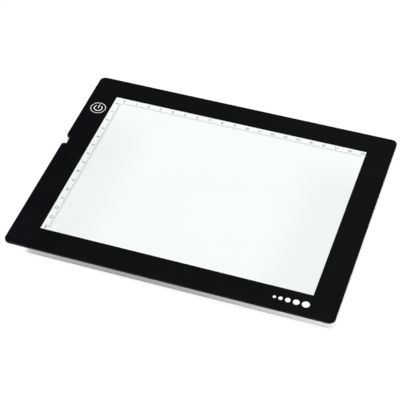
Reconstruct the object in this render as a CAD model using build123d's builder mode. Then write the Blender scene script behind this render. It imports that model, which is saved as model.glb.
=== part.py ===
"""Thin edge-lit drawing light box, about A5, with a touch key and a supply inlet in its left edge.

Millimetres. +X runs along the long side to the right, +Y to the back, +Z up. The origin is the
centre of the outline, on the surface that the feet stand on. The stack from the bottom is: feet,
back cover, reflector, light guide, two films, foam gasket, drawing panel and bezel, all held by a
moulded side frame.
"""

from build123d import *
import os

os.makedirs("parts", exist_ok=True)

# ---- driving dimensions: outline and window -------------------------------------------------
WINDOW_X = 200.0            # lit drawing window
WINDOW_Y = 150.0
BORDER_LEFT = 20.3          # black border beside the window
BORDER_RIGHT = 19.5
BORDER_FRONT = 19.6
BORDER_BACK = 19.9
CORNER_R = 4.5
NOTCH_DEPTH = 3.2           # supply-plug notch in the left edge
NOTCH_WIDTH = 8.1
NOTCH_FROM_WINDOW_BACK = 57.6
NOTCH_MOUTH_R = 2.0
NOTCH_INNER_R = 0.6

# ---- driving dimensions: heights ------------------------------------------------------------
FOOT_PROUD = 0.3            # feet below the back cover
BACK_T = 0.8
RIM_H = 0.5                 # back cover's rim above its floor
SEAM_H = 0.15               # shadow line between the rim and the side frame
TAPE_T = 0.1
SIDE_H = 4.7                # visible white side
BEZEL_TAPE_T = 0.15
BEZEL_T = 1.6
INK_T = 0.05                # ruler print
INLAY_T = 0.1               # paint in the bezel's engraved marks
REFLECTOR_T = 0.25
GUIDE_T = 3.0
DIFFUSER_T = 0.25
PRISM_T = 0.2
LEDGE_T = 0.8

# ---- driving dimensions: frame walls and clearances -----------------------------------------
WALL_T = 1.8                # outer wall of the side frame
BAY_WALL_T = 1.2            # wall around the optical stack
RIB_T = 1.0
GUIDE_OVERLAP = 2.0         # light guide past the window, on each side
BAY_GAP = 0.4               # light guide to the bay wall
REBATE_W = 2.2              # bezel rebate over the drawing panel's flange
REBATE_H = 0.8
FLANGE_GAP = 0.2
PANEL_GAP = 0.05
FILM_GAP = 0.3              # films inside the light guide's outline, on each side
GASKET_GAP = 0.5            # gasket outside the window, on each side
RIM_T = 0.9                 # back cover's rim, outside the side frame's lower lip
RIM_GAP = 0.1
BOARD_GAP = 0.15
SLOT_GAP = 0.15             # inlet inside its slot in the wall, on each side
BEZEL_TAPE_INSET = 0.4      # bezel tape behind the outer face
TAPE_SET_BACK = 0.2         # tapes short of the edges they lie along
BACK_TAPE_INSET = 0.6       # back-cover tape inside the outer wall
BEZEL_CHAMFER = 0.15
COVER_CHAMFER = 0.3
FOOT_CHAMFER = 0.15

# ---- derived places -------------------------------------------------------------------------
OUTER_X = BORDER_LEFT + WINDOW_X + BORDER_RIGHT
OUTER_Y = BORDER_FRONT + WINDOW_Y + BORDER_BACK
LEFT_EDGE = -OUTER_X / 2
RIGHT_EDGE = OUTER_X / 2
FRONT_EDGE = -OUTER_Y / 2
BACK_EDGE = OUTER_Y / 2
WINDOW_CX = LEFT_EDGE + BORDER_LEFT + WINDOW_X / 2
WINDOW_CY = FRONT_EDGE + BORDER_FRONT + WINDOW_Y / 2
WINDOW_LEFT = WINDOW_CX - WINDOW_X / 2
WINDOW_RIGHT = WINDOW_CX + WINDOW_X / 2
WINDOW_BACK = WINDOW_CY + WINDOW_Y / 2
WINDOW_FRONT = WINDOW_CY - WINDOW_Y / 2
NOTCH_Y = WINDOW_BACK - NOTCH_FROM_WINDOW_BACK
NOTCH_FLOOR_X = LEFT_EDGE + NOTCH_DEPTH
LIP_INSET = RIM_T + RIM_GAP

BASE_Z = FOOT_PROUD
BACK_TOP_Z = BASE_Z + BACK_T
RIM_TOP_Z = BACK_TOP_Z + RIM_H
SEAM_TOP_Z = RIM_TOP_Z + SEAM_H
LEDGE_Z = BACK_TOP_Z + TAPE_T
LEDGE_TOP_Z = LEDGE_Z + LEDGE_T
SIDE_TOP_Z = BASE_Z + SIDE_H
BEZEL_Z = SIDE_TOP_Z + BEZEL_TAPE_T
TOP_Z = BEZEL_Z + BEZEL_T
PANEL_TOP_Z = TOP_Z - INK_T
GUIDE_Z = BACK_TOP_Z + REFLECTOR_T
DIFFUSER_Z = GUIDE_Z + GUIDE_T
PRISM_Z = DIFFUSER_Z + DIFFUSER_T
GASKET_Z = PRISM_Z + PRISM_T

GUIDE_X = WINDOW_X + 2 * GUIDE_OVERLAP
GUIDE_Y = WINDOW_Y + 2 * GUIDE_OVERLAP
FILM_X = GUIDE_X - 2 * FILM_GAP
FILM_Y = GUIDE_Y - 2 * FILM_GAP
FLANGE_X = WINDOW_X + 2 * (REBATE_W - FLANGE_GAP)
FLANGE_Y = WINDOW_Y + 2 * (REBATE_W - FLANGE_GAP)

# ---- lamp strip along the back of the light guide -------------------------------------------
LED_COUNT = 24
LED_PITCH = WINDOW_X / LED_COUNT
LED_L, LED_H, LED_DEPTH = 3.0, 1.4, 0.8
LED_TO_GUIDE = 0.3
LED_WALL = 0.25             # housing around the fill
FILL_RECESS = 0.05
BAR_L, BAR_H, BAR_T = 202.0, 3.0, 0.6
GUIDE_BACK = WINDOW_CY + GUIDE_Y / 2
BAR_Y = GUIDE_BACK + LED_TO_GUIDE + LED_DEPTH
BAR_Z = LEDGE_Z
BAR_LEFT = WINDOW_CX - BAR_L / 2
LED_Z = GUIDE_Z + GUIDE_T / 2

BAY_LEFT = WINDOW_CX - GUIDE_X / 2 - BAY_GAP
BAY_RIGHT = WINDOW_CX + GUIDE_X / 2 + BAY_GAP
BAY_FRONT = WINDOW_CY - GUIDE_Y / 2 - BAY_GAP
BAY_BACK = BAR_Y + BAR_T + TAPE_T
BAY_CX = (BAY_LEFT + BAY_RIGHT) / 2
BAY_CY = (BAY_FRONT + BAY_BACK) / 2
BAY_X = BAY_RIGHT - BAY_LEFT
BAY_Y = BAY_BACK - BAY_FRONT

# ---- channels between the outer wall and the bay wall ---------------------------------------
LEFT_CHANNEL_X = BAY_LEFT - BAY_WALL_T - LEFT_EDGE - WALL_T
RIGHT_CHANNEL_X = RIGHT_EDGE - WALL_T - BAY_RIGHT - BAY_WALL_T
FRONT_CHANNEL_Y = BAY_FRONT - BAY_WALL_T - FRONT_EDGE - WALL_T
BACK_CHANNEL_Y = BACK_EDGE - WALL_T - BAY_BACK - BAY_WALL_T
RIB_H = SIDE_TOP_Z - LEDGE_TOP_Z
LONG_RIBS = 7
SIDE_RIB_PITCH = 25.0
LEAD_GAP_Y = 2.5            # opening in the bay wall for the two leads

# ---- control board in the left border -------------------------------------------------------
BOARD_T = 0.8
BOARD_X, BOARD_Y = 10.4, 58.0
INLET_TO_BOARD_END = 8.25   # inlet centre to the board's front end
BOARD_LEFT = NOTCH_FLOOR_X + WALL_T + BOARD_GAP
BOARD_CX = BOARD_LEFT + BOARD_X / 2
BOARD_CY = NOTCH_Y + BOARD_Y / 2 - INLET_TO_BOARD_END
BOARD_TOP_Z = LEDGE_Z + BOARD_T
BOARD_CORNER_R = 0.5
BOARD_TAPE_MARGIN = 1.0
POCKET_MARGIN = 2.0         # pocket past the board's two ends

# ---- touch key and generic brightness mark --------------------------------------------------
KEY_X = WINDOW_LEFT - 9.2
KEY_Y = WINDOW_BACK - 16.4
KEY_RING_R, KEY_RING_LINE = 5.8, 0.47
KEY_ARC_R, KEY_LINE = 3.1, 0.7
KEY_GAP_DEG = 41.0          # half of the power symbol's opening
KEY_BAR_LOW, KEY_BAR_HIGH = -0.4, 4.4
DOT_RADII = (1.1, 1.5, 1.9, 2.3, 2.7)
DOT_CLEAR = 1.7
DOTS_RIGHT = WINDOW_RIGHT
DOTS_Y = WINDOW_FRONT - 9.5

# ---- ruler -----------------------------------------------------------------------------------
RULER_START_X = 7.4         # zero mark of the back row, from the window's left edge
RULER_START_Y = 7.1         # zero mark of the left column, from the window's back edge
RULER_BAND = 6.4            # inner ends of the marks, from the window edge
BACK_MARKS, LEFT_MARKS = 190, 140
MARK_W = 0.2
MARK_L, HALF_MARK_L, CM_MARK_L = 1.6, 2.0, 2.4

# ---- supply inlet ----------------------------------------------------------------------------
USB_W, USB_H, USB_DEPTH = 7.5, 2.45, 5.6
USB_SHEET = 0.25
USB_SLOT_W = USB_W + 2 * SLOT_GAP
USB_SLOT_Z = BOARD_TOP_Z - 0.1
USB_TAPER_W, USB_TAPER_H = 0.9, 0.75
USB_MOUTH_X = NOTCH_FLOOR_X + 0.1
USB_BASE_T = 1.3
TONGUE_W, TONGUE_T, TONGUE_L = 3.6, 0.6, 3.5
TONGUE_CLEAR = 0.3          # tongue under the shell's upper wall
CONTACT_SHORT = 0.4         # contacts short of the tongue's tip
CONTACT_W, CONTACT_T, CONTACT_PITCH = 0.36, 0.1, 0.65

# ---- other small parts -----------------------------------------------------------------------
FOOT_R, FOOT_RECESS, FOOT_INSET = 5.0, 0.4, 20.0
FOOT_GAP = 0.1
FOOT_SPREAD_X = OUTER_X - 2 * FOOT_INSET
FOOT_SPREAD_Y = OUTER_Y - 2 * FOOT_INSET
ELECTRODE_R, ELECTRODE_T = 5.0, 0.1
SPRING_R, SPRING_WIRE_R, SPRING_TURNS = 2.2, 0.2, 3.5
SOLDER_R, SOLDER_H = 0.45, 0.5

# ---- chips: bodies, legs and places from the board's centre ---------------------------------
TOUCH_BODY, TOUCH_H, TOUCH_LEG_PITCH, TOUCH_Y = (3.9, 4.9), 1.5, 1.27, 3.0
DRIVER_BODY, DRIVER_H, DRIVER_LEG_PITCH, DRIVER_Y = (1.3, 2.9), 1.1, 1.9, -6.0
LEG_W, LEG_T, LEG_REACH = 0.4, 0.15, 0.6
LEG_TUCK = 0.2              # leg under the body
CHIP_STANDOFF = 0.1
CAPACITOR_X, CAPACITOR_Y, CAPACITOR_T = 1.6, 3.2, 1.2
CAPACITOR_PLACES = [(-3.2, -11.0), (3.4, -11.0), (-3.4, 10.5)]
RESISTOR_L, RESISTOR_W, RESISTOR_T = 1.6, 0.8, 0.45
RESISTOR_PLACES = [(-3.6, -5.0), (3.6, -5.0), (3.6, 10.5), (0.6, 10.5), (-3.6, 17.0)]

# ---- leads from the board to the lamp strip --------------------------------------------------
LEAD_R = 0.45
LEAD_CLEAR = 0.05
LEAD_START_Y = BOARD_CY + BOARD_Y / 2 - 1.9
LEAD_RUN_Y = BAR_Y - LEAD_R - LEAD_CLEAR
LEAD_END_X = BAR_LEFT + 1.1
LEAD_LOW_Z = BOARD_TOP_Z + LEAD_R + LEAD_CLEAR
LEAD_STEP_Z = 1.0           # red lead above the black one at the strip
RED_X, RED_Z, RED_BEND_R = BOARD_CX + 2.9, LEAD_LOW_Z + LEAD_STEP_Z, 2.6
BLACK_X, BLACK_Z, BLACK_BEND_R = BOARD_CX + 1.0, LEAD_LOW_Z, 4.5


def pad_outline(inset: float) -> Sketch:
    """Rounded outline with the plug notch, moved inwards all round by inset."""
    mouth_r = NOTCH_MOUTH_R - inset
    half_mouth = NOTCH_WIDTH / 2 + inset
    with BuildSketch() as outline:
        RectangleRounded(OUTER_X - 2 * inset, OUTER_Y - 2 * inset, CORNER_R - inset)
        with Locations((LEFT_EDGE, NOTCH_Y)):
            Rectangle(2 * (NOTCH_DEPTH + inset), 2 * half_mouth, mode=Mode.SUBTRACT)
        corners = outline.vertices().filter_by_position(
            Axis.Y, NOTCH_Y - half_mouth - 0.01, NOTCH_Y + half_mouth + 0.01
        )
        fillet(corners.group_by(Axis.X)[-1], NOTCH_INNER_R + inset)
        if mouth_r > 0.1:
            mouth = outline.vertices().filter_by_position(
                Axis.Y, NOTCH_Y - half_mouth - 0.01, NOTCH_Y + half_mouth + 0.01
            )
            fillet(mouth.group_by(Axis.X)[0], mouth_r)
    return outline.sketch


def bay_outline(margin: float) -> Sketch:
    """Rectangle of the optical bay, moved outwards by margin."""
    with BuildSketch() as bay:
        with Locations((BAY_CX, BAY_CY)):
            Rectangle(BAY_X + 2 * margin, BAY_Y + 2 * margin)
    return bay.sketch


def ruler_marks(count: int) -> dict[float, list[int]]:
    """Mark length to the numbers of the millimetre marks that have it, from zero to count."""
    marks = {MARK_L: [], HALF_MARK_L: [], CM_MARK_L: []}
    for mark in range(count + 1):
        length = {0: CM_MARK_L, 5: HALF_MARK_L}.get(mark % 10, MARK_L)
        marks[length].append(mark)
    return marks


OUTLINE = pad_outline(0)
WALL_INSIDE = pad_outline(WALL_T)

with BuildSketch() as board_pocket:
    with Locations((LEFT_EDGE + WALL_T, BOARD_CY)):
        pocket_size = (LEFT_CHANNEL_X, BOARD_Y + 2 * POCKET_MARGIN)
        Rectangle(*pocket_size, align=(Align.MIN, Align.CENTER))

with BuildSketch() as key_symbol:
    Circle(KEY_RING_R + KEY_RING_LINE / 2)
    Circle(KEY_RING_R - KEY_RING_LINE / 2, mode=Mode.SUBTRACT)
    Circle(KEY_ARC_R + KEY_LINE / 2)
    Circle(KEY_ARC_R - KEY_LINE / 2, mode=Mode.SUBTRACT)
    with BuildLine():
        left_side = PolarLine((0, 0), KEY_ARC_R + KEY_LINE, angle=90 + KEY_GAP_DEG)
        right_side = PolarLine((0, 0), KEY_ARC_R + KEY_LINE, angle=90 - KEY_GAP_DEG)
        ThreePointArc(left_side @ 1, (0, KEY_ARC_R + KEY_LINE), right_side @ 1)
    make_face(mode=Mode.SUBTRACT)
    with Locations((0, (KEY_BAR_LOW + KEY_BAR_HIGH) / 2)):
        SlotOverall(KEY_BAR_HIGH - KEY_BAR_LOW, KEY_LINE, rotation=90)

dot_places = []
dot_x = DOTS_RIGHT
for dot_r in reversed(DOT_RADII):
    dot_places.append((dot_x - dot_r, dot_r))
    dot_x -= 2 * dot_r + DOT_CLEAR

with BuildSketch() as dot_row:
    for place_x, dot_r in dot_places:
        with Locations((place_x, DOTS_Y)):
            Circle(dot_r)


# ==== visible pieces ===========================================================================

# Bezel: flat black plate with the window, a rebate for the panel and shallow engraved marks.
with BuildPart() as bezel_frame:
    with BuildSketch(Plane.XY.offset(BEZEL_Z)):
        add(OUTLINE)
        with Locations((WINDOW_CX, WINDOW_CY)):
            Rectangle(WINDOW_X, WINDOW_Y, mode=Mode.SUBTRACT)
    extrude(amount=BEZEL_T)
    top_face = bezel_frame.faces().sort_by(Axis.Z)[-1]
    chamfer(top_face.outer_wire().edges(), BEZEL_CHAMFER)
    with BuildSketch(Plane.XY.offset(BEZEL_Z)):
        with Locations((WINDOW_CX, WINDOW_CY)):
            Rectangle(WINDOW_X + 2 * REBATE_W, WINDOW_Y + 2 * REBATE_W)
    extrude(amount=REBATE_H, mode=Mode.SUBTRACT)
    with BuildSketch(Plane.XY.offset(TOP_Z - INLAY_T)):
        with Locations((KEY_X, KEY_Y)):
            add(key_symbol.sketch)
        add(dot_row.sketch)
    extrude(amount=INLAY_T, mode=Mode.SUBTRACT)
bezel_frame.part.label = "bezel_frame"
export_step(bezel_frame.part, "parts/bezel_frame.step")

# Drawing panel: opal plate that fills the window, with a flange under the bezel.
with BuildPart() as drawing_panel:
    with BuildSketch(Plane.XY.offset(BEZEL_Z)):
        with Locations((WINDOW_CX, WINDOW_CY)):
            Rectangle(FLANGE_X, FLANGE_Y)
    extrude(amount=REBATE_H - PANEL_GAP)
    with BuildSketch(Plane.XY.offset(BEZEL_Z)):
        with Locations((WINDOW_CX, WINDOW_CY)):
            Rectangle(WINDOW_X - 2 * PANEL_GAP, WINDOW_Y - 2 * PANEL_GAP)
    extrude(amount=PANEL_TOP_Z - BEZEL_Z)
drawing_panel.part.label = "drawing_panel"
export_step(drawing_panel.part, "parts/drawing_panel.step")

# Ruler: one thin printed mark for each millimetre, from the back-left corner.
with BuildPart() as ruler_print:
    with BuildSketch(Plane.XY.offset(PANEL_TOP_Z)):
        for length, marks in ruler_marks(BACK_MARKS).items():
            back_row = WINDOW_BACK - RULER_BAND
            with Locations([(WINDOW_LEFT + RULER_START_X + mark, back_row) for mark in marks]):
                Rectangle(MARK_W, length, align=(Align.CENTER, Align.MIN))
        for length, marks in ruler_marks(LEFT_MARKS).items():
            left_column = WINDOW_LEFT + RULER_BAND
            with Locations([(left_column, WINDOW_BACK - RULER_START_Y - mark) for mark in marks]):
                Rectangle(length, MARK_W, align=(Align.MAX, Align.CENTER))
    extrude(amount=INK_T)
ruler_print.part.label = "ruler_print"
export_step(ruler_print.part, "parts/ruler_print.step")

# Touch-key symbol: white paint that fills the engraved ring and power symbol.
with BuildPart() as power_key_print:
    with BuildSketch(Plane.XY.offset(TOP_Z - INLAY_T)):
        with Locations((KEY_X, KEY_Y)):
            add(key_symbol.sketch)
    extrude(amount=INLAY_T)
power_key_print.part.label = "power_key_print"
export_step(power_key_print.part, "parts/power_key_print.step")

# Brightness scale: five paint-filled dots that grow to the right.
with BuildPart() as brightness_dots:
    with BuildSketch(Plane.XY.offset(TOP_Z - INLAY_T)):
        add(dot_row.sketch)
    extrude(amount=INLAY_T)
brightness_dots.part.label = "brightness_dots"
export_step(brightness_dots.part, "parts/brightness_dots.step")

# Side frame: outer wall with a lip inside the back cover's rim, a ledge over the cover, a wall
# around the optical bay, and ribs.
with BuildPart() as side_frame:
    with BuildSketch(Plane.XY.offset(SEAM_TOP_Z)):
        add(OUTLINE)
        add(WALL_INSIDE, mode=Mode.SUBTRACT)
    extrude(amount=SIDE_TOP_Z - SEAM_TOP_Z)
    with BuildSketch(Plane.XY.offset(BACK_TOP_Z)):
        add(pad_outline(LIP_INSET))
        add(WALL_INSIDE, mode=Mode.SUBTRACT)
    extrude(amount=SEAM_TOP_Z - BACK_TOP_Z)
    with BuildSketch(Plane.XY.offset(LEDGE_Z)):
        add(pad_outline((LIP_INSET + WALL_T) / 2))
        add(bay_outline(0), mode=Mode.SUBTRACT)
        add(board_pocket.sketch, mode=Mode.SUBTRACT)
    extrude(amount=LEDGE_T)
    with BuildSketch(Plane.XY.offset(LEDGE_Z)):
        add(bay_outline(BAY_WALL_T))
        add(bay_outline(0), mode=Mode.SUBTRACT)
    extrude(amount=SIDE_TOP_Z - LEDGE_Z)
    with BuildSketch(Plane.XY.offset(LEDGE_TOP_Z)):
        with Locations((WINDOW_CX, BAY_FRONT - BAY_WALL_T)):
            with GridLocations(WINDOW_X / (LONG_RIBS - 1), 0, LONG_RIBS, 1):
                Rectangle(RIB_T, FRONT_CHANNEL_Y, align=(Align.CENTER, Align.MAX))
        with Locations((WINDOW_CX, BAY_BACK + BAY_WALL_T)):
            with GridLocations(WINDOW_X / (LONG_RIBS - 1), 0, LONG_RIBS, 1):
                Rectangle(RIB_T, BACK_CHANNEL_Y, align=(Align.CENTER, Align.MIN))
        for row in range(-3, 4):
            with Locations((BAY_RIGHT + BAY_WALL_T, row * SIDE_RIB_PITCH)):
                Rectangle(RIGHT_CHANNEL_X, RIB_T, align=(Align.MIN, Align.CENTER))
        for row in range(-3, 0):
            with Locations((BAY_LEFT - BAY_WALL_T, row * SIDE_RIB_PITCH)):
                Rectangle(LEFT_CHANNEL_X, RIB_T, align=(Align.MAX, Align.CENTER))
    extrude(amount=RIB_H)
    with BuildSketch(Plane.XY.offset(LEDGE_TOP_Z)):
        with Locations((BAY_LEFT, BAY_BACK)):
            Rectangle(3 * BAY_WALL_T, LEAD_GAP_Y, align=(Align.CENTER, Align.MAX))
    extrude(amount=RIB_H, mode=Mode.SUBTRACT)
    with BuildSketch(Plane.XY.offset(USB_SLOT_Z)):
        with Locations((NOTCH_FLOOR_X + WALL_T / 2, NOTCH_Y)):
            Rectangle(2 * WALL_T, USB_SLOT_W)
    extrude(amount=SIDE_TOP_Z - USB_SLOT_Z, mode=Mode.SUBTRACT)
side_frame.part.label = "side_frame"
export_step(side_frame.part, "parts/side_frame.step")

# Back cover: shallow tray whose rim meets the side frame at a seam; a recess holds each foot.
with BuildPart() as back_cover:
    with BuildSketch(Plane.XY.offset(BASE_Z)):
        add(OUTLINE)
    extrude(amount=BACK_T)
    with BuildSketch(Plane.XY.offset(BACK_TOP_Z)):
        add(OUTLINE)
        add(pad_outline(RIM_T), mode=Mode.SUBTRACT)
    extrude(amount=RIM_H)
    with BuildSketch(Plane.XY.offset(BASE_Z)):
        with GridLocations(FOOT_SPREAD_X, FOOT_SPREAD_Y, 2, 2):
            Circle(FOOT_R + FOOT_GAP)
    extrude(amount=FOOT_RECESS, mode=Mode.SUBTRACT)
    bottom_face = back_cover.faces().sort_by(Axis.Z)[0]
    chamfer(bottom_face.outer_wire().edges(), COVER_CHAMFER)
back_cover.part.label = "back_cover"
export_step(back_cover.part, "parts/back_cover.step")

# Feet: four rubber discs in the back cover's recesses.
with BuildPart() as rubber_feet:
    with BuildSketch():
        with GridLocations(FOOT_SPREAD_X, FOOT_SPREAD_Y, 2, 2):
            Circle(FOOT_R)
    extrude(amount=FOOT_PROUD + FOOT_RECESS)
    chamfer(rubber_feet.edges().group_by(Axis.Z)[0], FOOT_CHAMFER)
rubber_feet.part.label = "rubber_feet"
export_step(rubber_feet.part, "parts/rubber_feet.step")


# ==== tapes and gasket =========================================================================

# Bezel tape: one ring on the outer wall and one on the bay wall.
with BuildPart() as bezel_tape:
    with BuildSketch(Plane.XY.offset(SIDE_TOP_Z)):
        add(pad_outline(BEZEL_TAPE_INSET))
        add(pad_outline(WALL_T - TAPE_SET_BACK), mode=Mode.SUBTRACT)
        with Locations((NOTCH_FLOOR_X + WALL_T / 2, NOTCH_Y)):
            Rectangle(2 * WALL_T, USB_SLOT_W + TAPE_SET_BACK, mode=Mode.SUBTRACT)
    extrude(amount=BEZEL_TAPE_T)
    with BuildSketch(Plane.XY.offset(SIDE_TOP_Z)):
        add(bay_outline(BAY_WALL_T - TAPE_SET_BACK))
        add(bay_outline(TAPE_SET_BACK), mode=Mode.SUBTRACT)
        with Locations((BAY_LEFT, BAY_BACK)):
            Rectangle(3 * BAY_WALL_T, LEAD_GAP_Y + TAPE_SET_BACK, mode=Mode.SUBTRACT)
    extrude(amount=BEZEL_TAPE_T)
bezel_tape.part.label = "bezel_tape"
export_step(bezel_tape.part, "parts/bezel_tape.step")

# Back-cover tape: flat ring under the side frame's ledge, open at the control board.
with BuildPart() as back_cover_tape:
    with BuildSketch(Plane.XY.offset(BACK_TOP_Z)):
        add(pad_outline(WALL_T + BACK_TAPE_INSET))
        add(bay_outline(TAPE_SET_BACK), mode=Mode.SUBTRACT)
        add(board_pocket.sketch, mode=Mode.SUBTRACT)
    extrude(amount=TAPE_T)
back_cover_tape.part.label = "back_cover_tape"
export_step(back_cover_tape.part, "parts/back_cover_tape.step")

# Panel gasket: foam ring that presses the films down and carries the panel's flange.
with BuildPart() as panel_gasket:
    with BuildSketch(Plane.XY.offset(GASKET_Z)):
        with Locations((WINDOW_CX, WINDOW_CY)):
            Rectangle(FILM_X, FILM_Y)
            opening = (WINDOW_X + 2 * GASKET_GAP, WINDOW_Y + 2 * GASKET_GAP)
            Rectangle(*opening, mode=Mode.SUBTRACT)
    extrude(amount=BEZEL_Z - GASKET_Z)
panel_gasket.part.label = "panel_gasket"
export_step(panel_gasket.part, "parts/panel_gasket.step")

# Edge reflector tape: white strips on the three edges of the light guide that have no lamps.
with BuildPart() as edge_reflector_tape:
    with BuildSketch(Plane.XY.offset(GUIDE_Z)):
        for side in (-1, 1):
            with Locations((WINDOW_CX + side * (GUIDE_X + TAPE_T) / 2, WINDOW_CY)):
                Rectangle(TAPE_T, GUIDE_Y - 2 * TAPE_SET_BACK)
        with Locations((WINDOW_CX, WINDOW_CY - (GUIDE_Y + TAPE_T) / 2)):
            Rectangle(GUIDE_X - 2 * TAPE_SET_BACK, TAPE_T)
    extrude(amount=GUIDE_T)
edge_reflector_tape.part.label = "edge_reflector_tape"
export_step(edge_reflector_tape.part, "parts/edge_reflector_tape.step")

# Lamp-strip tape: holds the strip to the back wall of the bay.
with BuildPart() as led_bar_tape:
    with BuildSketch(Plane.XY.offset(BAR_Z + TAPE_SET_BACK)):
        with Locations((WINDOW_CX, BAR_Y + BAR_T + TAPE_T / 2)):
            Rectangle(BAR_L - 2 * TAPE_SET_BACK, TAPE_T)
    extrude(amount=BAR_H - 2 * TAPE_SET_BACK)
led_bar_tape.part.label = "led_bar_tape"
export_step(led_bar_tape.part, "parts/led_bar_tape.step")

# Board tape: holds the control board to the back cover.
with BuildPart() as board_tape:
    with BuildSketch(Plane.XY.offset(BACK_TOP_Z)):
        with Locations((BOARD_CX, BOARD_CY)):
            Rectangle(BOARD_X - 2 * BOARD_TAPE_MARGIN, BOARD_Y - 2 * BOARD_TAPE_MARGIN)
    extrude(amount=TAPE_T)
board_tape.part.label = "board_tape"
export_step(board_tape.part, "parts/board_tape.step")


# ==== optical stack ============================================================================

# Reflector sheet: white film on the back cover.
with BuildPart() as reflector_sheet:
    with BuildSketch(Plane.XY.offset(BACK_TOP_Z)):
        with Locations((WINDOW_CX, WINDOW_CY)):
            Rectangle(GUIDE_X, GUIDE_Y)
    extrude(amount=REFLECTOR_T)
reflector_sheet.part.label = "reflector_sheet"
export_step(reflector_sheet.part, "parts/reflector_sheet.step")

# Light guide: clear plate lit from its back edge.
with BuildPart() as light_guide:
    with BuildSketch(Plane.XY.offset(GUIDE_Z)):
        with Locations((WINDOW_CX, WINDOW_CY)):
            Rectangle(GUIDE_X, GUIDE_Y)
    extrude(amount=GUIDE_T)
light_guide.part.label = "light_guide"
export_step(light_guide.part, "parts/light_guide.step")

# Diffuser film on the light guide.
with BuildPart() as diffuser_film:
    with BuildSketch(Plane.XY.offset(DIFFUSER_Z)):
        with Locations((WINDOW_CX, WINDOW_CY)):
            Rectangle(FILM_X, FILM_Y)
    extrude(amount=DIFFUSER_T)
diffuser_film.part.label = "diffuser_film"
export_step(diffuser_film.part, "parts/diffuser_film.step")

# Prism film on the diffuser.
with BuildPart() as prism_film:
    with BuildSketch(Plane.XY.offset(PRISM_Z)):
        with Locations((WINDOW_CX, WINDOW_CY)):
            Rectangle(FILM_X, FILM_Y)
    extrude(amount=PRISM_T)
prism_film.part.label = "prism_film"
export_step(prism_film.part, "parts/prism_film.step")


# ==== lamp strip ===============================================================================

# Strip board: narrow board on edge behind the light guide.
with BuildPart() as led_bar_board:
    with BuildSketch(Plane.XY.offset(BAR_Z)):
        with Locations((WINDOW_CX, BAR_Y + BAR_T / 2)):
            Rectangle(BAR_L, BAR_T)
    extrude(amount=BAR_H)
led_bar_board.part.label = "led_bar_board"
export_step(led_bar_board.part, "parts/led_bar_board.step")

# Lamp housings: a row of small open boxes that face the light guide.
led_face = Plane(origin=(WINDOW_CX, BAR_Y - LED_DEPTH, LED_Z), x_dir=(1, 0, 0), z_dir=(0, -1, 0))

with BuildPart() as led_packages:
    with BuildSketch(led_face):
        with GridLocations(LED_PITCH, 0, LED_COUNT, 1):
            Rectangle(LED_L, LED_H)
    extrude(amount=-LED_DEPTH)
    with BuildSketch(led_face):
        with GridLocations(LED_PITCH, 0, LED_COUNT, 1):
            Rectangle(LED_L - 2 * LED_WALL, LED_H - 2 * LED_WALL)
    extrude(amount=-LED_DEPTH / 2, mode=Mode.SUBTRACT)
led_packages.part.label = "led_packages"
export_step(led_packages.part, "parts/led_packages.step")

# Lamp fills: the yellow gel in each housing.
with BuildPart() as led_fills:
    with BuildSketch(led_face.offset(-LED_DEPTH / 2)):
        with GridLocations(LED_PITCH, 0, LED_COUNT, 1):
            Rectangle(LED_L - 2 * LED_WALL, LED_H - 2 * LED_WALL)
    extrude(amount=LED_DEPTH / 2 - FILL_RECESS)
led_fills.part.label = "led_fills"
export_step(led_fills.part, "parts/led_fills.step")

# Series resistors: one after every third lamp.
strip_face = led_face.offset(-LED_DEPTH)

with BuildPart() as led_bar_resistors:
    with BuildSketch(strip_face):
        with Locations((-LED_PITCH, 0)):
            with GridLocations(3 * LED_PITCH, 0, LED_COUNT // 3, 1):
                with Locations((LED_PITCH / 2, 0)):
                    Rectangle(RESISTOR_L, RESISTOR_W)
    extrude(amount=RESISTOR_T)
led_bar_resistors.part.label = "led_bar_resistors"
export_step(led_bar_resistors.part, "parts/led_bar_resistors.step")


# ==== control board ============================================================================

with BuildPart() as control_board:
    with BuildSketch(Plane.XY.offset(LEDGE_Z)):
        with Locations((BOARD_CX, BOARD_CY)):
            RectangleRounded(BOARD_X, BOARD_Y, BOARD_CORNER_R)
    extrude(amount=BOARD_T)
control_board.part.label = "control_board"
export_step(control_board.part, "parts/control_board.step")

# Supply inlet: folded metal shell that tapers at its two lower corners.
usb_mouth = Plane(origin=(USB_MOUTH_X, NOTCH_Y, BOARD_TOP_Z), x_dir=(0, 1, 0), z_dir=(1, 0, 0))


def usb_section(inset: float) -> Sketch:
    """Inlet section: wide at the top, tapered below, moved inwards by inset."""
    half_top = USB_W / 2 - inset
    half_low = half_top - USB_TAPER_W
    with BuildSketch() as section:
        with BuildLine():
            Polyline(
                (-half_low, inset),
                (half_low, inset),
                (half_top, USB_TAPER_H + inset / 2),
                (half_top, USB_H - inset),
                (-half_top, USB_H - inset),
                (-half_top, USB_TAPER_H + inset / 2),
                close=True,
            )
        make_face()
    return section.sketch


USB_OUTSIDE = usb_section(0)
USB_INSIDE = usb_section(USB_SHEET)

with BuildPart() as usb_shell:
    with BuildSketch(usb_mouth):
        add(USB_OUTSIDE)
        add(USB_INSIDE, mode=Mode.SUBTRACT)
    extrude(amount=USB_DEPTH)
usb_shell.part.label = "usb_shell"
export_step(usb_shell.part, "parts/usb_shell.step")

# Tongue: plastic block that closes the shell's back, with a thin tongue towards the mouth.
TONGUE_LOW_Z = BOARD_TOP_Z + USB_H - USB_SHEET - TONGUE_CLEAR - TONGUE_T

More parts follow.
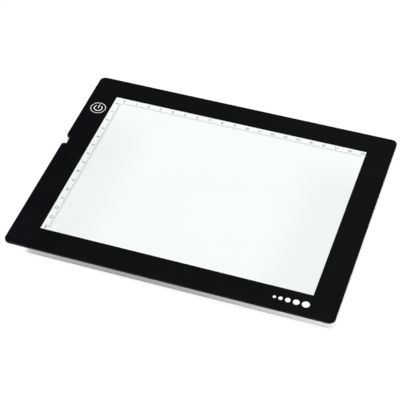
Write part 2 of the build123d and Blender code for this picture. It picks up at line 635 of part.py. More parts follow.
with BuildPart() as usb_tongue:
    with BuildSketch(usb_mouth.offset(USB_DEPTH - USB_BASE_T)):
        add(USB_INSIDE)
    extrude(amount=USB_BASE_T)
    with BuildSketch(Plane.XY.offset(TONGUE_LOW_Z)):
        with Locations((USB_MOUTH_X + USB_DEPTH - USB_BASE_T, NOTCH_Y)):
            Rectangle(TONGUE_L, TONGUE_W, align=(Align.MAX, Align.CENTER))
    extrude(amount=TONGUE_T)
usb_tongue.part.label = "usb_tongue"
export_step(usb_tongue.part, "parts/usb_tongue.step")

# Contacts: five strips under the tongue.
with BuildPart() as usb_contacts:
    with BuildSketch(Plane.XY.offset(TONGUE_LOW_Z - CONTACT_T)):
        with Locations((USB_MOUTH_X + USB_DEPTH - USB_BASE_T, NOTCH_Y)):
            with GridLocations(0, CONTACT_PITCH, 1, 5):
                Rectangle(TONGUE_L - CONTACT_SHORT, CONTACT_W, align=(Align.MAX, Align.CENTER))
    extrude(amount=CONTACT_T)
usb_contacts.part.label = "usb_contacts"
export_step(usb_contacts.part, "parts/usb_contacts.step")

# Touch electrode: copper disc under the bezel, and the spring that joins it to the board.
with BuildPart() as touch_electrode:
    with BuildSketch(Plane.XY.offset(BEZEL_Z - ELECTRODE_T)):
        with Locations((KEY_X, KEY_Y)):
            Circle(ELECTRODE_R)
    extrude(amount=ELECTRODE_T)
touch_electrode.part.label = "touch_electrode"
export_step(touch_electrode.part, "parts/touch_electrode.step")

SPRING_H = BEZEL_Z - ELECTRODE_T - BOARD_TOP_Z - 2 * SPRING_WIRE_R
spring_start = (KEY_X, KEY_Y, BOARD_TOP_Z + SPRING_WIRE_R)

with BuildPart() as touch_spring:
    with BuildLine() as coil:
        Helix(SPRING_H / SPRING_TURNS, SPRING_H, SPRING_R, center=spring_start)
    with BuildSketch(Plane(origin=coil.line @ 0, z_dir=coil.line % 0)):
        Circle(SPRING_WIRE_R)
    sweep()
touch_spring.part.label = "touch_spring"
export_step(touch_spring.part, "parts/touch_spring.step")


def chip(body, height, legs_per_side, leg_pitch, place):
    """Chip with a raised body and flat legs along its two long sides."""
    body_x, body_y = body
    leg_x = body_x / 2 + (LEG_REACH - LEG_TUCK) / 2
    with BuildPart() as piece:
        with BuildSketch(Plane.XY.offset(BOARD_TOP_Z + CHIP_STANDOFF)):
            with Locations(place):
                Rectangle(body_x, body_y)
        extrude(amount=height - CHIP_STANDOFF)
        with BuildSketch(Plane.XY.offset(BOARD_TOP_Z)):
            for side, count in zip((-1, 1), legs_per_side):
                with Locations((place[0] + side * leg_x, place[1])):
                    with GridLocations(0, leg_pitch, 1, count):
                        Rectangle(LEG_REACH + LEG_TUCK, LEG_W)
        extrude(amount=CHIP_STANDOFF + LEG_T)
    return piece


touch_chip = chip(TOUCH_BODY, TOUCH_H, (4, 4), TOUCH_LEG_PITCH, (BOARD_CX, BOARD_CY + TOUCH_Y))
touch_chip.part.label = "touch_chip"
export_step(touch_chip.part, "parts/touch_chip.step")

driver_place = (BOARD_CX, BOARD_CY + DRIVER_Y)
driver_transistor = chip(DRIVER_BODY, DRIVER_H, (2, 1), DRIVER_LEG_PITCH, driver_place)
driver_transistor.part.label = "driver_transistor"
export_step(driver_transistor.part, "parts/driver_transistor.step")

# Chip capacitors and resistors, flat on the board.
with BuildPart() as chip_capacitors:
    with BuildSketch(Plane.XY.offset(BOARD_TOP_Z)):
        with Locations((BOARD_CX, BOARD_CY)):
            with Locations(CAPACITOR_PLACES):
                Rectangle(CAPACITOR_X, CAPACITOR_Y)
    extrude(amount=CAPACITOR_T)
chip_capacitors.part.label = "chip_capacitors"
export_step(chip_capacitors.part, "parts/chip_capacitors.step")

with BuildPart() as chip_resistors:
    with BuildSketch(Plane.XY.offset(BOARD_TOP_Z)):
        with Locations((BOARD_CX, BOARD_CY)):
            with Locations(RESISTOR_PLACES):
                Rectangle(RESISTOR_W, RESISTOR_L)
    extrude(amount=RESISTOR_T)
chip_resistors.part.label = "chip_resistors"
export_step(chip_resistors.part, "parts/chip_resistors.step")


# ==== leads from the board to the lamp strip ===================================================


def lead(start_x, end_z, bend_r):
    """Insulated wire: back along the border, one bend, then right to the lamp strip."""
    with BuildPart() as wire:
        with BuildLine() as route:
            FilletPolyline(
                (start_x, LEAD_START_Y, LEAD_LOW_Z),
                (start_x, LEAD_RUN_Y, end_z),
                (LEAD_END_X, LEAD_RUN_Y, end_z),
                radius=bend_r,
            )
        with BuildSketch(Plane(origin=route.line @ 0, z_dir=route.line % 0)):
            Circle(LEAD_R)
        sweep()
    return wire


lead_red = lead(RED_X, RED_Z, RED_BEND_R)
lead_red.part.label = "lead_red"
export_step(lead_red.part, "parts/lead_red.step")

lead_black = lead(BLACK_X, BLACK_Z, BLACK_BEND_R)
lead_black.part.label = "lead_black"
export_step(lead_black.part, "parts/lead_black.step")

# Solder joints: two on the board and two on the strip.
strip_pads = Plane(origin=(LEAD_END_X + SOLDER_R, BAR_Y, 0), x_dir=(1, 0, 0), z_dir=(0, -1, 0))

with BuildPart() as lead_solder:
    with BuildSketch(Plane.XY.offset(BOARD_TOP_Z)):
        with Locations((RED_X, LEAD_START_Y - SOLDER_R), (BLACK_X, LEAD_START_Y - SOLDER_R)):
            Circle(SOLDER_R)
    extrude(amount=SOLDER_H)
    with BuildSketch(strip_pads):
        with Locations((0, RED_Z), (0, BLACK_Z)):
            Circle(SOLDER_R)
    extrude(amount=SOLDER_H)
lead_solder.part.label = "lead_solder"
export_step(lead_solder.part, "parts/lead_solder.step")
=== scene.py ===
"""Looks of a thin edge-lit drawing light box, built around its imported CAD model.

Lengths written with MM are millimetres; every object is in metres, in the model's own frame.
The box lies flat on z = 0 with its long side along X and its long ruler along the back.
"""

import math

import bmesh
import bpy
from mathutils import Matrix, Vector


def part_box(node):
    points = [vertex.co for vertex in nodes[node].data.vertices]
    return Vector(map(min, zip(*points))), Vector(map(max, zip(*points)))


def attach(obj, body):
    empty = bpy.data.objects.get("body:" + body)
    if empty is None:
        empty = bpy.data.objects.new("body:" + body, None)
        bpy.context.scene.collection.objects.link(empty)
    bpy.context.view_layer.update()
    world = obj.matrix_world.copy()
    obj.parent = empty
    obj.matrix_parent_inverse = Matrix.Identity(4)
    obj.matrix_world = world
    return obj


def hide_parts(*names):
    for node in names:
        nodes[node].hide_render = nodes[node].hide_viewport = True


MM = 0.001

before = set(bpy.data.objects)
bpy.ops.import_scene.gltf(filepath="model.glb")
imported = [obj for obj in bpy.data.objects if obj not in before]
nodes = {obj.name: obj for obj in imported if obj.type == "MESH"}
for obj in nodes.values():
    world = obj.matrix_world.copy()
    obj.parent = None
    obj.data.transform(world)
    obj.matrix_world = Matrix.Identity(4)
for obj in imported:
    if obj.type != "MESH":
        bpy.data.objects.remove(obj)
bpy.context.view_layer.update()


# ---- camera ---------------------------------------------------------------------------------

CAMERA_PLACE = (226.12, -680.82, 704.38)    # millimetres
CAMERA_AIM = (-1.49, -12.74, 6.75)          # millimetres
CAMERA_ROLL = math.radians(-0.2136)
CAMERA_LENS = 123.74
SENSOR = 36.0


def make_camera():
    camera = bpy.data.objects.new("camera", bpy.data.cameras.new("camera"))
    bpy.context.scene.collection.objects.link(camera)
    camera.data.lens = CAMERA_LENS
    camera.data.sensor_width = SENSOR
    place = Vector(CAMERA_PLACE) * MM
    looking = Vector(CAMERA_AIM) * MM - place
    turn = looking.to_track_quat("-Z", "Y").to_matrix().to_4x4()
    camera.matrix_world = Matrix.Translation(place) @ turn @ Matrix.Rotation(CAMERA_ROLL, 4, "Z")
    bpy.context.scene.camera = camera


# ---- studio ---------------------------------------------------------------------------------

FLOOR_SIZE = 12.0
FLOOR_DROP = 0.02 * MM
FLOOR_SEEN = 0.75           # share of the glow in what the camera sees of the paper
FLOOR_GLOW = 1.14
FLOOR_PAPER = (0.5, 0.5, 0.5)

SKY_DIM, SKY_BRIGHT = 0.02, 0.22
SKY_FROM, SKY_TO = -0.4, 0.1        # across the sky, where it goes from dim to bright
GROUND = (0.9, 0.9, 0.9, 1)

LAMP_LOW = 0.014            # height of the small lights, in metres like all of these
LAMP_AIM = 0.003            # height on the object's side that they point at
STRIP = 0.02                # height of a small light's own face
SPOT_SOFT, SPOT_BLEND = 0.002, 0.15


def make_floor():
    """Paper that glows white where it is looked at, so that shadows nearly wash out."""
    mesh = bpy.data.meshes.new("floor")
    shape = bmesh.new()
    bmesh.ops.create_grid(shape, x_segments=8, y_segments=8, size=FLOOR_SIZE / 2)
    shape.to_mesh(mesh)
    shape.free()
    floor = bpy.data.objects.new("floor", mesh)
    floor.location.z = -FLOOR_DROP
    bpy.context.scene.collection.objects.link(floor)
    paint = Look("floor_paper", FLOOR_PAPER, 0.9)
    grain = paint.noise(1.5, detail=4)
    paint.colours(grain, [(0.3, (0.49, 0.49, 0.49)), (0.7, (0.51, 0.51, 0.51))])
    glow = paint.add("ShaderNodeEmission", "Emission", {"Strength": FLOOR_GLOW})
    looked_at = paint.add("ShaderNodeLightPath", "Is Camera Ray", {})
    share = paint.math("MULTIPLY", looked_at, FLOOR_SEEN)
    paper = paint.shader.outputs["BSDF"]
    surface = paint.add("ShaderNodeMixShader", "Shader", {0: share, 1: paper, 2: glow})
    output = paint.tree.nodes["Material Output"]
    paint.tree.links.new(surface, output.inputs["Surface"])
    floor.data.materials.append(paint.material)


def pointed(lamp, centre, looking):
    """Hangs a lamp at centre, turned the way it looks."""
    light = bpy.data.objects.new(lamp.name, lamp)
    bpy.context.scene.collection.objects.link(light)
    light.rotation_euler = looking.to_track_quat("-Z", "Y").to_euler()
    light.location = centre
    return light


def softbox(name, centre, aim, size, watts):
    """A rectangular light of size (across, along) metres, pointed from centre to aim."""
    lamp = bpy.data.lights.new(name, "AREA")
    lamp.shape = "RECTANGLE"
    lamp.size, lamp.size_y = size
    lamp.energy = watts
    pointed(lamp, centre, Vector(aim) - Vector(centre)).visible_camera = False


def make_world():
    """Pale below the horizon and dim above it, so that black gloss stays black."""
    world = bpy.data.worlds.new("studio")
    bpy.context.scene.world = world
    world.use_nodes = True
    tree = world.node_tree
    place = tree.nodes.new("ShaderNodeTexCoord")
    split = tree.nodes.new("ShaderNodeSeparateXYZ")
    tree.links.new(place.outputs["Generated"], split.inputs["Vector"])
    brightness = tree.nodes.new("ShaderNodeMapRange")
    brightness.inputs["From Min"].default_value = SKY_FROM
    brightness.inputs["From Max"].default_value = SKY_TO
    brightness.inputs["To Min"].default_value = SKY_DIM
    brightness.inputs["To Max"].default_value = SKY_BRIGHT
    tree.links.new(split.outputs["X"], brightness.inputs["Value"])
    above = tree.nodes.new("ShaderNodeMath")
    above.operation = "GREATER_THAN"
    above.inputs[1].default_value = 0.0
    tree.links.new(split.outputs["Z"], above.inputs[0])
    sky = tree.nodes.new("ShaderNodeMixRGB")
    sky.inputs["Color1"].default_value = GROUND
    tree.links.new(above.outputs["Value"], sky.inputs["Fac"])
    tree.links.new(brightness.outputs["Result"], sky.inputs["Color2"])
    tree.links.new(sky.outputs["Color"], tree.nodes["Background"].inputs["Color"])


def corner_spot(name, centre, aim, radius, watts):
    """A narrow spot that lights a disc of about this radius around aim."""
    lamp = bpy.data.lights.new(name, "SPOT")
    looking = Vector(aim) - Vector(centre)
    lamp.spot_size = 2 * math.atan(radius / looking.length)
    lamp.spot_blend = SPOT_BLEND
    lamp.shadow_soft_size = SPOT_SOFT
    lamp.energy = watts
    pointed(lamp, centre, looking)


def make_lights():
    """A broad one overhead, and small ones for the front's two ends, its corner and the right."""
    softbox("overhead", (0.0, 0.20, 1.6), (0, 0.20, 0), (3.4, 1.3), 52)
    softbox("right_front", (0.15, -0.25, LAMP_LOW), (0.245, -0.09, LAMP_AIM), (0.12, STRIP), 0.195)
    softbox("left_front", (-0.215, -0.15, LAMP_LOW), (-0.12, -0.09, LAMP_AIM), (0.08, STRIP), 0.113)
    softbox("right_side", (0.40, 0.05, LAMP_LOW), (0.12, 0.03, LAMP_AIM), (0.36, STRIP), 0.7)
    corner_spot("left_corner", (-0.35, -0.60, 0.25), (-0.1165, -0.094, LAMP_AIM), 0.0145, 12.0)


# ---- textures -------------------------------------------------------------------------------


class Look:
    """A Principled material whose textures are laid out in millimetres of the object's frame."""

    def __init__(self, name, colour, roughness, **sockets):
        self.material = bpy.data.materials.new(name)
        self.material.use_nodes = True
        self.tree = self.material.node_tree
        self.shader = self.tree.nodes["Principled BSDF"]
        self.shader.inputs["Base Color"].default_value = (*colour, 1.0)
        self.shader.inputs["Roughness"].default_value = roughness
        for socket, value in sockets.items():
            self.shader.inputs[socket].default_value = value
        coords = self.tree.nodes.new("ShaderNodeTexCoord")
        self.geometry = self.tree.nodes.new("ShaderNodeNewGeometry")
        self.metres = coords.outputs["Object"]
        self.mm = self.stretched((1.0, 1.0, 1.0))
        self.normal = None

    def add(self, kind, output, inputs, **settings):
        """A new node with these inputs, each a value or another node's output."""
        node = self.tree.nodes.new(kind)
        for name, value in settings.items():
            setattr(node, name, value)
        for name, value in inputs.items():
            if isinstance(value, bpy.types.NodeSocket):
                self.tree.links.new(value, node.inputs[name])
            else:
                node.inputs[name].default_value = value
        return node.outputs[output]

    def stretched(self, per_mm, turn=0.0):
        """Coordinates in millimetres times per_mm along X, Y and Z, turned about Z."""
        scale = tuple(share / MM for share in per_mm)
        inputs = {"Vector": self.metres, "Scale": scale, "Rotation": (0.0, 0.0, turn)}
        return self.add("ShaderNodeMapping", "Vector", inputs)

    def noise(self, size, detail=2.0, where=None, rough=0.5):
        """Soft noise from 0 to 1, with features about size millimetres across."""
        inputs = {"Vector": where or self.mm, "Scale": 1.0 / size, "Detail": detail}
        inputs["Roughness"] = rough
        return self.add("ShaderNodeTexNoise", "Fac", inputs)

    def cells(self, size, spread=1.0):
        """Distance to the nearest of points about size millimetres apart, in cell widths."""
        inputs = {"Vector": self.mm, "Scale": 1.0 / size, "Randomness": spread}
        return self.add("ShaderNodeTexVoronoi", "Distance", inputs)

    def ridges(self, size, axis):
        """Parallel waves of size millimetres across the axis."""
        inputs = {"Vector": self.mm, "Scale": math.pi / 10.0 / size}
        kind = {"wave_type": "BANDS", "bands_direction": axis}
        return self.add("ShaderNodeTexWave", "Fac", inputs, **kind)

    def facing_up(self):
        """1 on faces that look up or down, 0 on upright ones."""
        split = self.add("ShaderNodeSeparateXYZ", "Z", {"Vector": self.geometry.outputs["Normal"]})
        return self.span(self.math("ABSOLUTE", split), 0.55, 0.85, 0.0, 1.0)

    def along(self, axis):
        """One coordinate of the object's frame, in millimetres."""
        return self.add("ShaderNodeSeparateXYZ", axis, {"Vector": self.mm})

    def span(self, value, low, high, to_low, to_high, smooth=False):
        inputs = {"Value": value, "From Min": low, "From Max": high}
        inputs.update({"To Min": to_low, "To Max": to_high})
        shape = "SMOOTHSTEP" if smooth else "LINEAR"
        return self.add("ShaderNodeMapRange", "Result", inputs, interpolation_type=shape)

    def math(self, operation, *values):
        return self.add("ShaderNodeMath", "Value", dict(enumerate(values)), operation=operation)

    def blend(self, factor, a, b):
        """Colour a where factor is 0 and colour b where it is 1."""
        inputs = {"Fac": factor}
        for name, colour in (("Color1", a), ("Color2", b)):
            is_link = isinstance(colour, bpy.types.NodeSocket)
            inputs[name] = colour if is_link else (*colour, 1.0)
        return self.add("ShaderNodeMixRGB", "Color", inputs)

    def ramp(self, factor, stops):
        """A colour for each value of factor, from (position, colour) stops."""
        node = self.tree.nodes.new("ShaderNodeValToRGB")
        self.tree.links.new(factor, node.inputs["Fac"])
        band = node.color_ramp
        while len(band.elements) < len(stops):
            band.elements.new(0.5)
        for element, (position, colour) in zip(band.elements, stops):
            element.position = position
            element.color = (*colour, 1.0)
        return node.outputs["Color"]

    def colours(self, factor, stops):
        self.paint("Base Color", self.ramp(factor, stops))

    def paint(self, socket, output):
        self.tree.links.new(output, self.shader.inputs[socket])

    def roughen(self, factor, low, high):
        """Roughness from low, where factor is 0.3, to high, where it is 0.7."""
        self.paint("Roughness", self.span(factor, 0.3, 0.7, low, high))

    def relief(self, height, depth_mm):
        """Raises the surface by depth_mm where height is 1; calls add up."""
        inputs = {"Height": height, "Distance": depth_mm * MM, "Strength": 1.0}
        if self.normal:
            inputs["Normal"] = self.normal
        self.normal = self.add("ShaderNodeBump", "Normal", inputs)
        self.paint("Normal", self.normal)


# ---- outer materials ------------------------------------------------------------------------


def black_acrylic():
    """Polished sheet with faint wipe marks and dust; its cut edge is satin, with saw lines."""
    look = Look("black_acrylic", (0.003, 0.0032, 0.0036), 0.12, IOR=1.49)
    look.shader.inputs["Specular IOR Level"].default_value = 0.2
    cloudy = look.noise(28.0, detail=3)
    tint = look.ramp(cloudy, [(0.3, (0.0026, 0.0029, 0.0037)), (0.7, (0.0034, 0.0037, 0.0046))])
    dust = look.span(look.cells(5.0), 0.012, 0.02, 1.0, 0.0)
    dusty = look.blend(dust, tint, (0.05, 0.05, 0.052))
    flat = look.facing_up()
    look.paint("Base Color", look.blend(flat, (0.0035, 0.0037, 0.0042), dusty))
    wipes = look.noise(3.0, detail=4, where=look.stretched((0.12, 1.0, 1.0), math.radians(24)))
    polish = look.span(wipes, 0.3, 0.75, 0.09, 0.17)
    look.paint("Roughness", look.span(flat, 0.0, 1.0, 0.46, polish))
    saw = look.noise(0.5, detail=3, where=look.stretched((1.0, 1.0, 0.08)))
    look.relief(look.math("MULTIPLY", saw, look.span(flat, 0.0, 1.0, 1.0, 0.0)), 0.03)
    look.relief(look.noise(16.0, detail=1), 0.004)
    return look.material


LIT_STRENGTH = 0.31
LED_PITCH = 8.33            # millimetres


def opal_acrylic():
    """Satin opal sheet, lit evenly from behind and a little brighter along the LED side."""
    look = Look("opal_acrylic", (0.50, 0.515, 0.52), 0.42, IOR=1.49)
    look.shader.inputs["Emission Strength"].default_value = LIT_STRENGTH
    cloudy = look.noise(45.0, detail=2)
    look.colours(cloudy, [(0.3, (0.495, 0.510, 0.515)), (0.7, (0.505, 0.520, 0.525))])
    from_middle = look.math("ABSOLUTE", look.along("X"))
    sides = look.span(from_middle, 45.0, 95.0, 0.0, 1.0, smooth=True)
    from_leds = look.span(look.along("Y"), 20.0, 70.0, 1.0, 0.0, smooth=True)
    fading = look.span(look.along("Y"), -75.0, 75.0, 0.25, 0.0)
    dimming = look.math("ADD", look.math("MULTIPLY", sides, from_leds), fading)
    beads = look.span(look.ridges(LED_PITCH, "X"), 0.0, 1.0, 0.0, 0.05)
    near = look.span(look.along("Y"), 62.0, 75.0, 0.0, 1.0)
    dimming = look.math("SUBTRACT", dimming, look.math("MULTIPLY", beads, near))
    glow = look.ramp(dimming, [(0.0, (0.97, 0.995, 1.0)), (1.0, (0.70, 0.735, 0.745))])
    look.paint("Emission Color", glow)
    look.relief(look.noise(0.25, detail=2), 0.004)
    look.roughen(look.noise(12.0, detail=3), 0.38, 0.46)
    return look.material


def printed_ink(name, colour, gap_colour, roughness):
    """A screen-printed layer: the mesh leaves a fine, slightly uneven tone."""
    look = Look(name, colour, roughness)
    screen = look.cells(0.12, spread=0.35)
    uneven = look.math("ADD", look.span(screen, 0.0, 0.8, 0.0, 0.6), look.noise(2.0, detail=3))
    look.colours(uneven, [(0.35, colour), (1.0, gap_colour)])
    look.roughen(look.noise(1.0), roughness - 0.05, roughness + 0.08)
    look.relief(screen, 0.01)
    return look.material


def moulded_white():
    """White moulded plastic: fine spark-eroded grain, faint flow marks, leather grain on flat faces."""
    look = Look("white_abs", (0.71, 0.71, 0.72), 0.5, IOR=1.53)
    flow = look.noise(22.0, detail=3, where=look.stretched((0.3, 0.3, 1.0)))
    look.colours(flow, [(0.3, (0.695, 0.695, 0.705)), (0.7, (0.725, 0.725, 0.735))])
    grain = look.noise(0.35, detail=3, rough=0.6)
    look.roughen(look.noise(1.4, detail=3), 0.44, 0.58)
    look.relief(grain, 0.03)
    look.relief(look.math("MULTIPLY", look.cells(0.7), look.facing_up()), 0.03)
    return look.material


def foot_rubber():
    look = Look("foot_rubber", (0.035, 0.035, 0.037), 0.75)
    bloom = look.noise(1.6, detail=4)
    look.colours(bloom, [(0.35, (0.028, 0.028, 0.03)), (0.75, (0.055, 0.055, 0.057))])
    look.roughen(look.noise(0.6), 0.66, 0.86)
    look.relief(look.noise(0.18, detail=3), 0.02)
    return look.material


# ---- inner materials ------------------------------------------------------------------------


def adhesive_tape():
    """Double-sided tape: milky, with fibres and a few trapped bubbles."""
    look = Look("clear_tape", (0.72, 0.70, 0.64), 0.35)
    fibres = look.noise(0.5, detail=5, where=look.stretched((0.15, 1.0, 1.0), 0.6))
    look.colours(fibres, [(0.35, (0.64, 0.62, 0.56)), (0.65, (0.76, 0.74, 0.69))])
    bubbles = look.span(look.cells(3.0), 0.08, 0.14, 1.0, 0.0, smooth=True)
    look.roughen(look.noise(2.0), 0.28, 0.5)
    look.relief(bubbles, 0.02)
    look.relief(fibres, 0.01)
    return look.material


def closed_foam():
    look = Look("grey_foam", (0.22, 0.22, 0.23), 0.85)
    pore_depth_and_shade = look.cells(0.28)
    # Each pore is darker towards its centre: painted shade in the pore hollows. The same field also
    # sinks the pores as bumps.
    look.colours(pore_depth_and_shade, [(0.0, (0.10, 0.10, 0.105)), (0.45, (0.25, 0.25, 0.26))])
    look.relief(pore_depth_and_shade, 0.06)
    return look.material


def dotted_guide():
    """Clear acrylic with its light-spreading dots, which grow away from the LED side."""
    look = Look("clear_acrylic", (0.90, 0.96, 0.97), 0.05, IOR=1.49)
    look.shader.inputs["Transmission Weight"].default_value = 0.75
    far = look.span(look.along("Y"), -77.0, 77.0, 0.36, 0.16)
    grid = look.cells(1.0, spread=0.0)
    dots = look.math("LESS_THAN", grid, far)
    look.paint("Base Color", look.blend(dots, (0.88, 0.96, 0.97), (0.97, 0.97, 0.97)))
    look.paint("Roughness", look.span(dots, 0.0, 1.0, 0.04, 0.6))
    look.relief(look.noise(14.0), 0.004)
    return look.material


def frosted_film():
    look = Look("frosted_film", (0.88, 0.90, 0.91), 0.6)
    beads = look.cells(0.15)
    look.colours(look.noise(20.0), [(0.3, (0.86, 0.88, 0.89)), (0.7, (0.90, 0.92, 0.93))])
    look.relief(beads, 0.01)
    look.roughen(look.noise(1.0), 0.52, 0.68)
    return look.material


def ribbed_film():
    """Prism film: fine parallel ribs along the long side, with a pearly sheen."""
    look = Look("prism_film", (0.80, 0.84, 0.88), 0.22)
    ribs = look.ridges(0.4, "Y")
    look.colours(look.noise(30.0), [(0.3, (0.76, 0.82, 0.88)), (0.7, (0.85, 0.86, 0.87))])
    look.relief(ribs, 0.12)
    look.roughen(look.noise(3.0), 0.18, 0.3)
    return look.material


def reflector_film():
    look = Look("white_film", (0.92, 0.92, 0.92), 0.3)
    look.colours(look.noise(25.0), [(0.3, (0.90, 0.90, 0.91)), (0.7, (0.94, 0.94, 0.93))])
    look.roughen(look.noise(5.0, detail=3), 0.24, 0.38)
    look.relief(look.noise(0.8, detail=3), 0.008)
    return look.material


def circuit_board(name, mask, trace, pitch):
    """Solder mask over copper: traces show as slightly raised lines in a lighter tone."""
    look = Look(name, mask, 0.3)
    bricks = {"Vector": look.mm, "Scale": 1.0 / pitch, "Mortar Size": 0.06}
    bricks.update({"Brick Width": 3.2, "Row Height": 0.8, "Bias": 0.0, "Mortar Smooth": 0.1})
    lines = look.add("ShaderNodeTexBrick", "Fac", bricks, offset=0.35, squash=1.6)
    vias = look.span(look.cells(pitch * 2.1), 0.10, 0.13, 1.0, 0.0)
    uneven = look.ramp(look.noise(4.0), [(0.3, mask), (0.7, tuple(c * 1.12 for c in mask))])
    traced = look.blend(lines, uneven, trace)
    look.paint("Base Color", look.blend(vias, traced, (0.72, 0.70, 0.62)))
    look.paint("Metallic", look.span(vias, 0.0, 1.0, 0.0, 0.9))
    look.relief(lines, 0.03)
    look.relief(vias, 0.02)
    look.roughen(look.noise(0.7), 0.24, 0.38)
    return look.material


def led_housing():
    look = Look("led_housing", (0.87, 0.87, 0.85), 0.45)
    look.colours(look.noise(0.8), [(0.3, (0.84, 0.84, 0.81)), (0.7, (0.90, 0.90, 0.88))])
    look.relief(look.noise(0.06), 0.006)
    look.roughen(look.noise(0.3), 0.4, 0.55)
    return look.material


def led_gel():
    look = Look("led_gel", (0.85, 0.66, 0.08), 0.25)
    phosphor = look.noise(0.12, detail=4)
    look.colours(phosphor, [(0.3, (0.78, 0.56, 0.04)), (0.7, (0.92, 0.78, 0.18))])
    look.relief(look.noise(0.5), 0.01)
    look.roughen(phosphor, 0.2, 0.34)
    return look.material


def moulded_epoxy(name, colour):
    look = Look(name, colour, 0.55)
    speckle = look.noise(0.08, detail=3)
    lighter = tuple(c * 1.7 for c in colour)
    look.colours(speckle, [(0.35, colour), (0.75, lighter)])
    look.relief(speckle, 0.01)
    look.roughen(look.noise(0.5), 0.48, 0.66)
    return look.material


def glazed_chip(name, colour, lighter):
    look = Look(name, colour, 0.3)
    look.colours(look.noise(0.25, detail=4), [(0.35, colour), (0.7, lighter)])
    look.relief(look.noise(0.1), 0.008)
    look.roughen(look.noise(0.4), 0.24, 0.4)
    return look.material


def drawn_metal(name, colour, darker, roughness, streak=(0.1, 1.0, 1.0)):
    """Metal with fine drawing lines along one axis and a little tarnish."""
    look = Look(name, colour, roughness, Metallic=1.0)
    lines = look.noise(0.1, detail=4, where=look.stretched(streak))
    tarnish = look.noise(1.2, detail=4)
    look.colours(tarnish, [(0.3, darker), (0.6, colour)])
    look.roughen(look.math("MULTIPLY", lines, tarnish), roughness - 0.08, roughness + 0.12)
    look.relief(lines, 0.006)
    return look.material


def wire_sleeve(name, colour, lighter):
    look = Look(name, colour, 0.45)
    look.colours(look.noise(0.9, detail=3), [(0.3, colour), (0.75, lighter)])
    look.roughen(look.noise(0.4), 0.38, 0.56)
    look.relief(look.noise(0.12, detail=3), 0.006)
    return look.material


# ---- new pieces -----------------------------------------------------------------------------

FLANGE = 2.0 * MM           # the panel's hidden edge, past the window on each side
CENTIMETRE = 10.0 * MM
RULER_START_X = 7.4 * MM    # the back row's zero mark, from the window's left edge
RULER_START_Y = 7.1 * MM    # the left column's zero mark, from the window's back edge
DIGIT_FROM_EDGE = 2.85 * MM
DIGIT_SIZE = 2.95 * MM
DIGIT_WIDEN = 1.12
DIGIT_BOLDER = 0.045 * MM   # added all round each stroke
DIGIT_RAISE = 0.02 * MM
LEFT_TURN = math.radians(-90)       # the left column reads from the back to the front

FOOT_R, FOOT_EDGE_R = 5.0 * MM, 0.25 * MM
FOOT_DIMPLE_R, FOOT_DIMPLE = 3.3 * MM, 0.1 * MM
TURN_STEPS = 64


def linked(name, shape):
    """A new object from a bmesh, smooth but for its sharp edges."""
    mesh = bpy.data.meshes.new(name)
    shape.to_mesh(mesh)
    shape.free()
    for face in mesh.polygons:
        face.use_smooth = True
    mesh.set_sharp_from_angle(angle=math.radians(35))
    piece = bpy.data.objects.new(name, mesh)
    bpy.context.scene.collection.objects.link(piece)
    return piece


def add_number(shape, text, place, turn=0.0):
    """Adds a flat raised number to a bmesh, centred on place and turned about Z."""
    curve = bpy.data.curves.new("number", "FONT")
    curve.body = text
    curve.size = DIGIT_SIZE
    curve.extrude = DIGIT_RAISE
    curve.offset = DIGIT_BOLDER
    curve.resolution_u = 4
    curve.align_x, curve.align_y = "CENTER", "CENTER"
    lettering = bpy.data.objects.new("number", curve)
    bpy.context.scene.collection.objects.link(lettering)
    bpy.context.view_layer.update()
    mesh = bpy.data.meshes.new_from_object(lettering)
    bpy.data.objects.remove(lettering)
    widen = Matrix.Diagonal((DIGIT_WIDEN, 1.0, 1.0, 1.0))
    mesh.transform(Matrix.Translation(place) @ Matrix.Rotation(turn, 4, "Z") @ widen)
    shape.from_mesh(mesh)


def ruler_numbers():
    """The centimetre numbers along the back and down the left of the lit window."""
    panel_low, panel_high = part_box("drawing_panel")
    marks_low, marks_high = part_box("ruler_print")
    left, back = panel_low.x + FLANGE, panel_high.y - FLANGE
    zero_x, zero_y = left + RULER_START_X, back - RULER_START_Y
    height = panel_high.z + DIGIT_RAISE
    shape = bmesh.new()
    for number in range(1 + round((marks_high.x - zero_x) / CENTIMETRE)):
        place = (zero_x + number * CENTIMETRE, back - DIGIT_FROM_EDGE, height)
        add_number(shape, str(number), place)
    for number in range(1 + round((zero_y - marks_low.y) / CENTIMETRE)):
        place = (left + DIGIT_FROM_EDGE, zero_y - number * CENTIMETRE, height)
        add_number(shape, str(number), place, LEFT_TURN)
    return linked("ruler_numbers", shape)


def foot_profile(top):
    """Radius and height pairs of a foot's outline, from the axis at its top to its dimple."""
    points = [(0.0, top), (FOOT_R, top)]
    for step in range(7):
        turn = math.radians(90 * step / 6)
        out = FOOT_R - FOOT_EDGE_R + FOOT_EDGE_R * math.cos(turn)
        points.append((out, FOOT_EDGE_R - FOOT_EDGE_R * math.sin(turn)))
    for step in range(7):
        turn = math.radians(180 * step / 6)
        out = FOOT_DIMPLE_R + FOOT_DIMPLE * math.cos(turn)
        points.append((out, FOOT_DIMPLE * (1 - math.cos(turn)) / 2))
    points.append((0.0, FOOT_DIMPLE))
    return points


def turned(shape, profile, centre):
    """Adds a solid of revolution about the vertical through centre."""
    rings = []
    for radius, height in profile:
        if radius == 0.0:
            rings.append([shape.verts.new((centre[0], centre[1], height))])
            continue
        ring = []
        for step in range(TURN_STEPS):
            turn = 2 * math.pi * step / TURN_STEPS
            x, y = centre[0] + radius * math.cos(turn), centre[1] + radius * math.sin(turn)
            ring.append(shape.verts.new((x, y, height)))
        rings.append(ring)
    for upper, lower in zip(rings, rings[1:]):
        for step in range(TURN_STEPS):
            after = (step + 1) % TURN_STEPS
            corners = [upper[step % len(upper)], upper[after % len(upper)]]
            corners += [lower[after % len(lower)], lower[step % len(lower)]]
            shape.faces.new(list(dict.fromkeys(corners)))


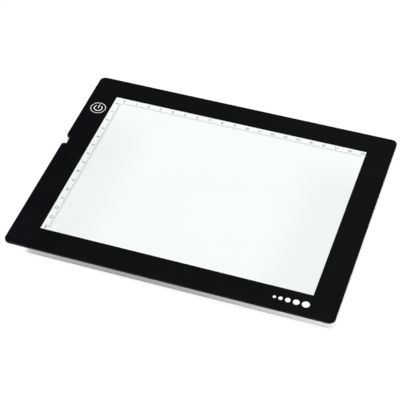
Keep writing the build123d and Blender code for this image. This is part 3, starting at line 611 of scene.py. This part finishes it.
def rubber_feet():
    """Four stick-on pads with a rounded lip and a shallow dimple underneath."""
    low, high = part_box("rubber_feet")
    shape = bmesh.new()
    for x in (low.x + FOOT_R, high.x - FOOT_R):
        for y in (low.y + FOOT_R, high.y - FOOT_R):
            turned(shape, foot_profile(high.z), (x, y))
    bmesh.ops.recalc_face_normals(shape, faces=shape.faces)
    return linked("foot_pads", shape)


# ---- dressing -------------------------------------------------------------------------------


def dress(material, *names):
    """Gives a material to CAD nodes, in the place of their plain one."""
    for name in names:
        for slot in nodes[name].material_slots:
            slot.material = material


def place_piece(piece, material, slot, *replaced):
    piece.data.materials.append(material)
    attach(piece, "root")
    if replaced:
        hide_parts(*replaced)


def dress_outside():
    dress(black_acrylic(), "bezel_frame")
    dress(opal_acrylic(), "drawing_panel")
    grey_ink = printed_ink("grey_ink", (0.03, 0.03, 0.033), (0.12, 0.12, 0.125), 0.6)
    dress(grey_ink, "ruler_print")
    place_piece(ruler_numbers(), grey_ink, "grey_ink")
    white_ink = printed_ink("white_ink", (0.86, 0.86, 0.86), (0.76, 0.76, 0.77), 0.5)
    dress(white_ink, "power_key_print", "brightness_dots")
    dress(moulded_white(), "side_frame", "back_cover")
    place_piece(rubber_feet(), foot_rubber(), "foot_rubber", "rubber_feet")


def dress_inside():
    tape = adhesive_tape()
    dress(tape, "bezel_tape", "back_cover_tape", "led_bar_tape", "board_tape")
    dress(closed_foam(), "panel_gasket")
    film = reflector_film()
    dress(film, "edge_reflector_tape", "reflector_sheet")
    dress(dotted_guide(), "light_guide")
    dress(frosted_film(), "diffuser_film")
    dress(ribbed_film(), "prism_film")
    dress(circuit_board("white_board", (0.80, 0.81, 0.79), (0.88, 0.88, 0.85), 1.6), "led_bar_board")
    dress(circuit_board("green_board", (0.012, 0.13, 0.045), (0.03, 0.24, 0.09), 1.3), "control_board")
    dress(led_housing(), "led_packages")
    dress(led_gel(), "led_fills")
    dress(moulded_epoxy("black_chip", (0.022, 0.022, 0.024)), "touch_chip", "driver_transistor")
    dress(glazed_chip("chip_ceramic", (0.42, 0.29, 0.18), (0.52, 0.38, 0.26)), "chip_capacitors")
    resistor = glazed_chip("resistor_black", (0.02, 0.02, 0.024), (0.05, 0.05, 0.055))
    dress(resistor, "led_bar_resistors", "chip_resistors")
    dress(drawn_metal("tinned_steel", (0.72, 0.72, 0.71), (0.58, 0.58, 0.57), 0.3), "usb_shell")
    dress(moulded_epoxy("black_nylon", (0.02, 0.02, 0.021)), "usb_tongue")
    dress(drawn_metal("gold_contact", (0.86, 0.64, 0.28), (0.74, 0.52, 0.22), 0.22), "usb_contacts")
    dress(drawn_metal("copper", (0.75, 0.37, 0.22), (0.56, 0.26, 0.16), 0.34), "touch_electrode")
    steel = drawn_metal("spring_steel", (0.62, 0.62, 0.62), (0.50, 0.50, 0.49), 0.28, (1.0, 1.0, 0.2))
    dress(steel, "touch_spring")
    dress(wire_sleeve("red_sleeve", (0.50, 0.012, 0.012), (0.62, 0.03, 0.025)), "lead_red")
    dress(wire_sleeve("black_sleeve", (0.016, 0.016, 0.017), (0.035, 0.035, 0.036)), "lead_black")
    dress(drawn_metal("solder", (0.66, 0.66, 0.68), (0.52, 0.52, 0.54), 0.24), "lead_solder")


bpy.context.scene.view_settings.view_transform = "Standard"
make_camera()
make_world()
make_lights()
make_floor()
dress_outside()
dress_inside()
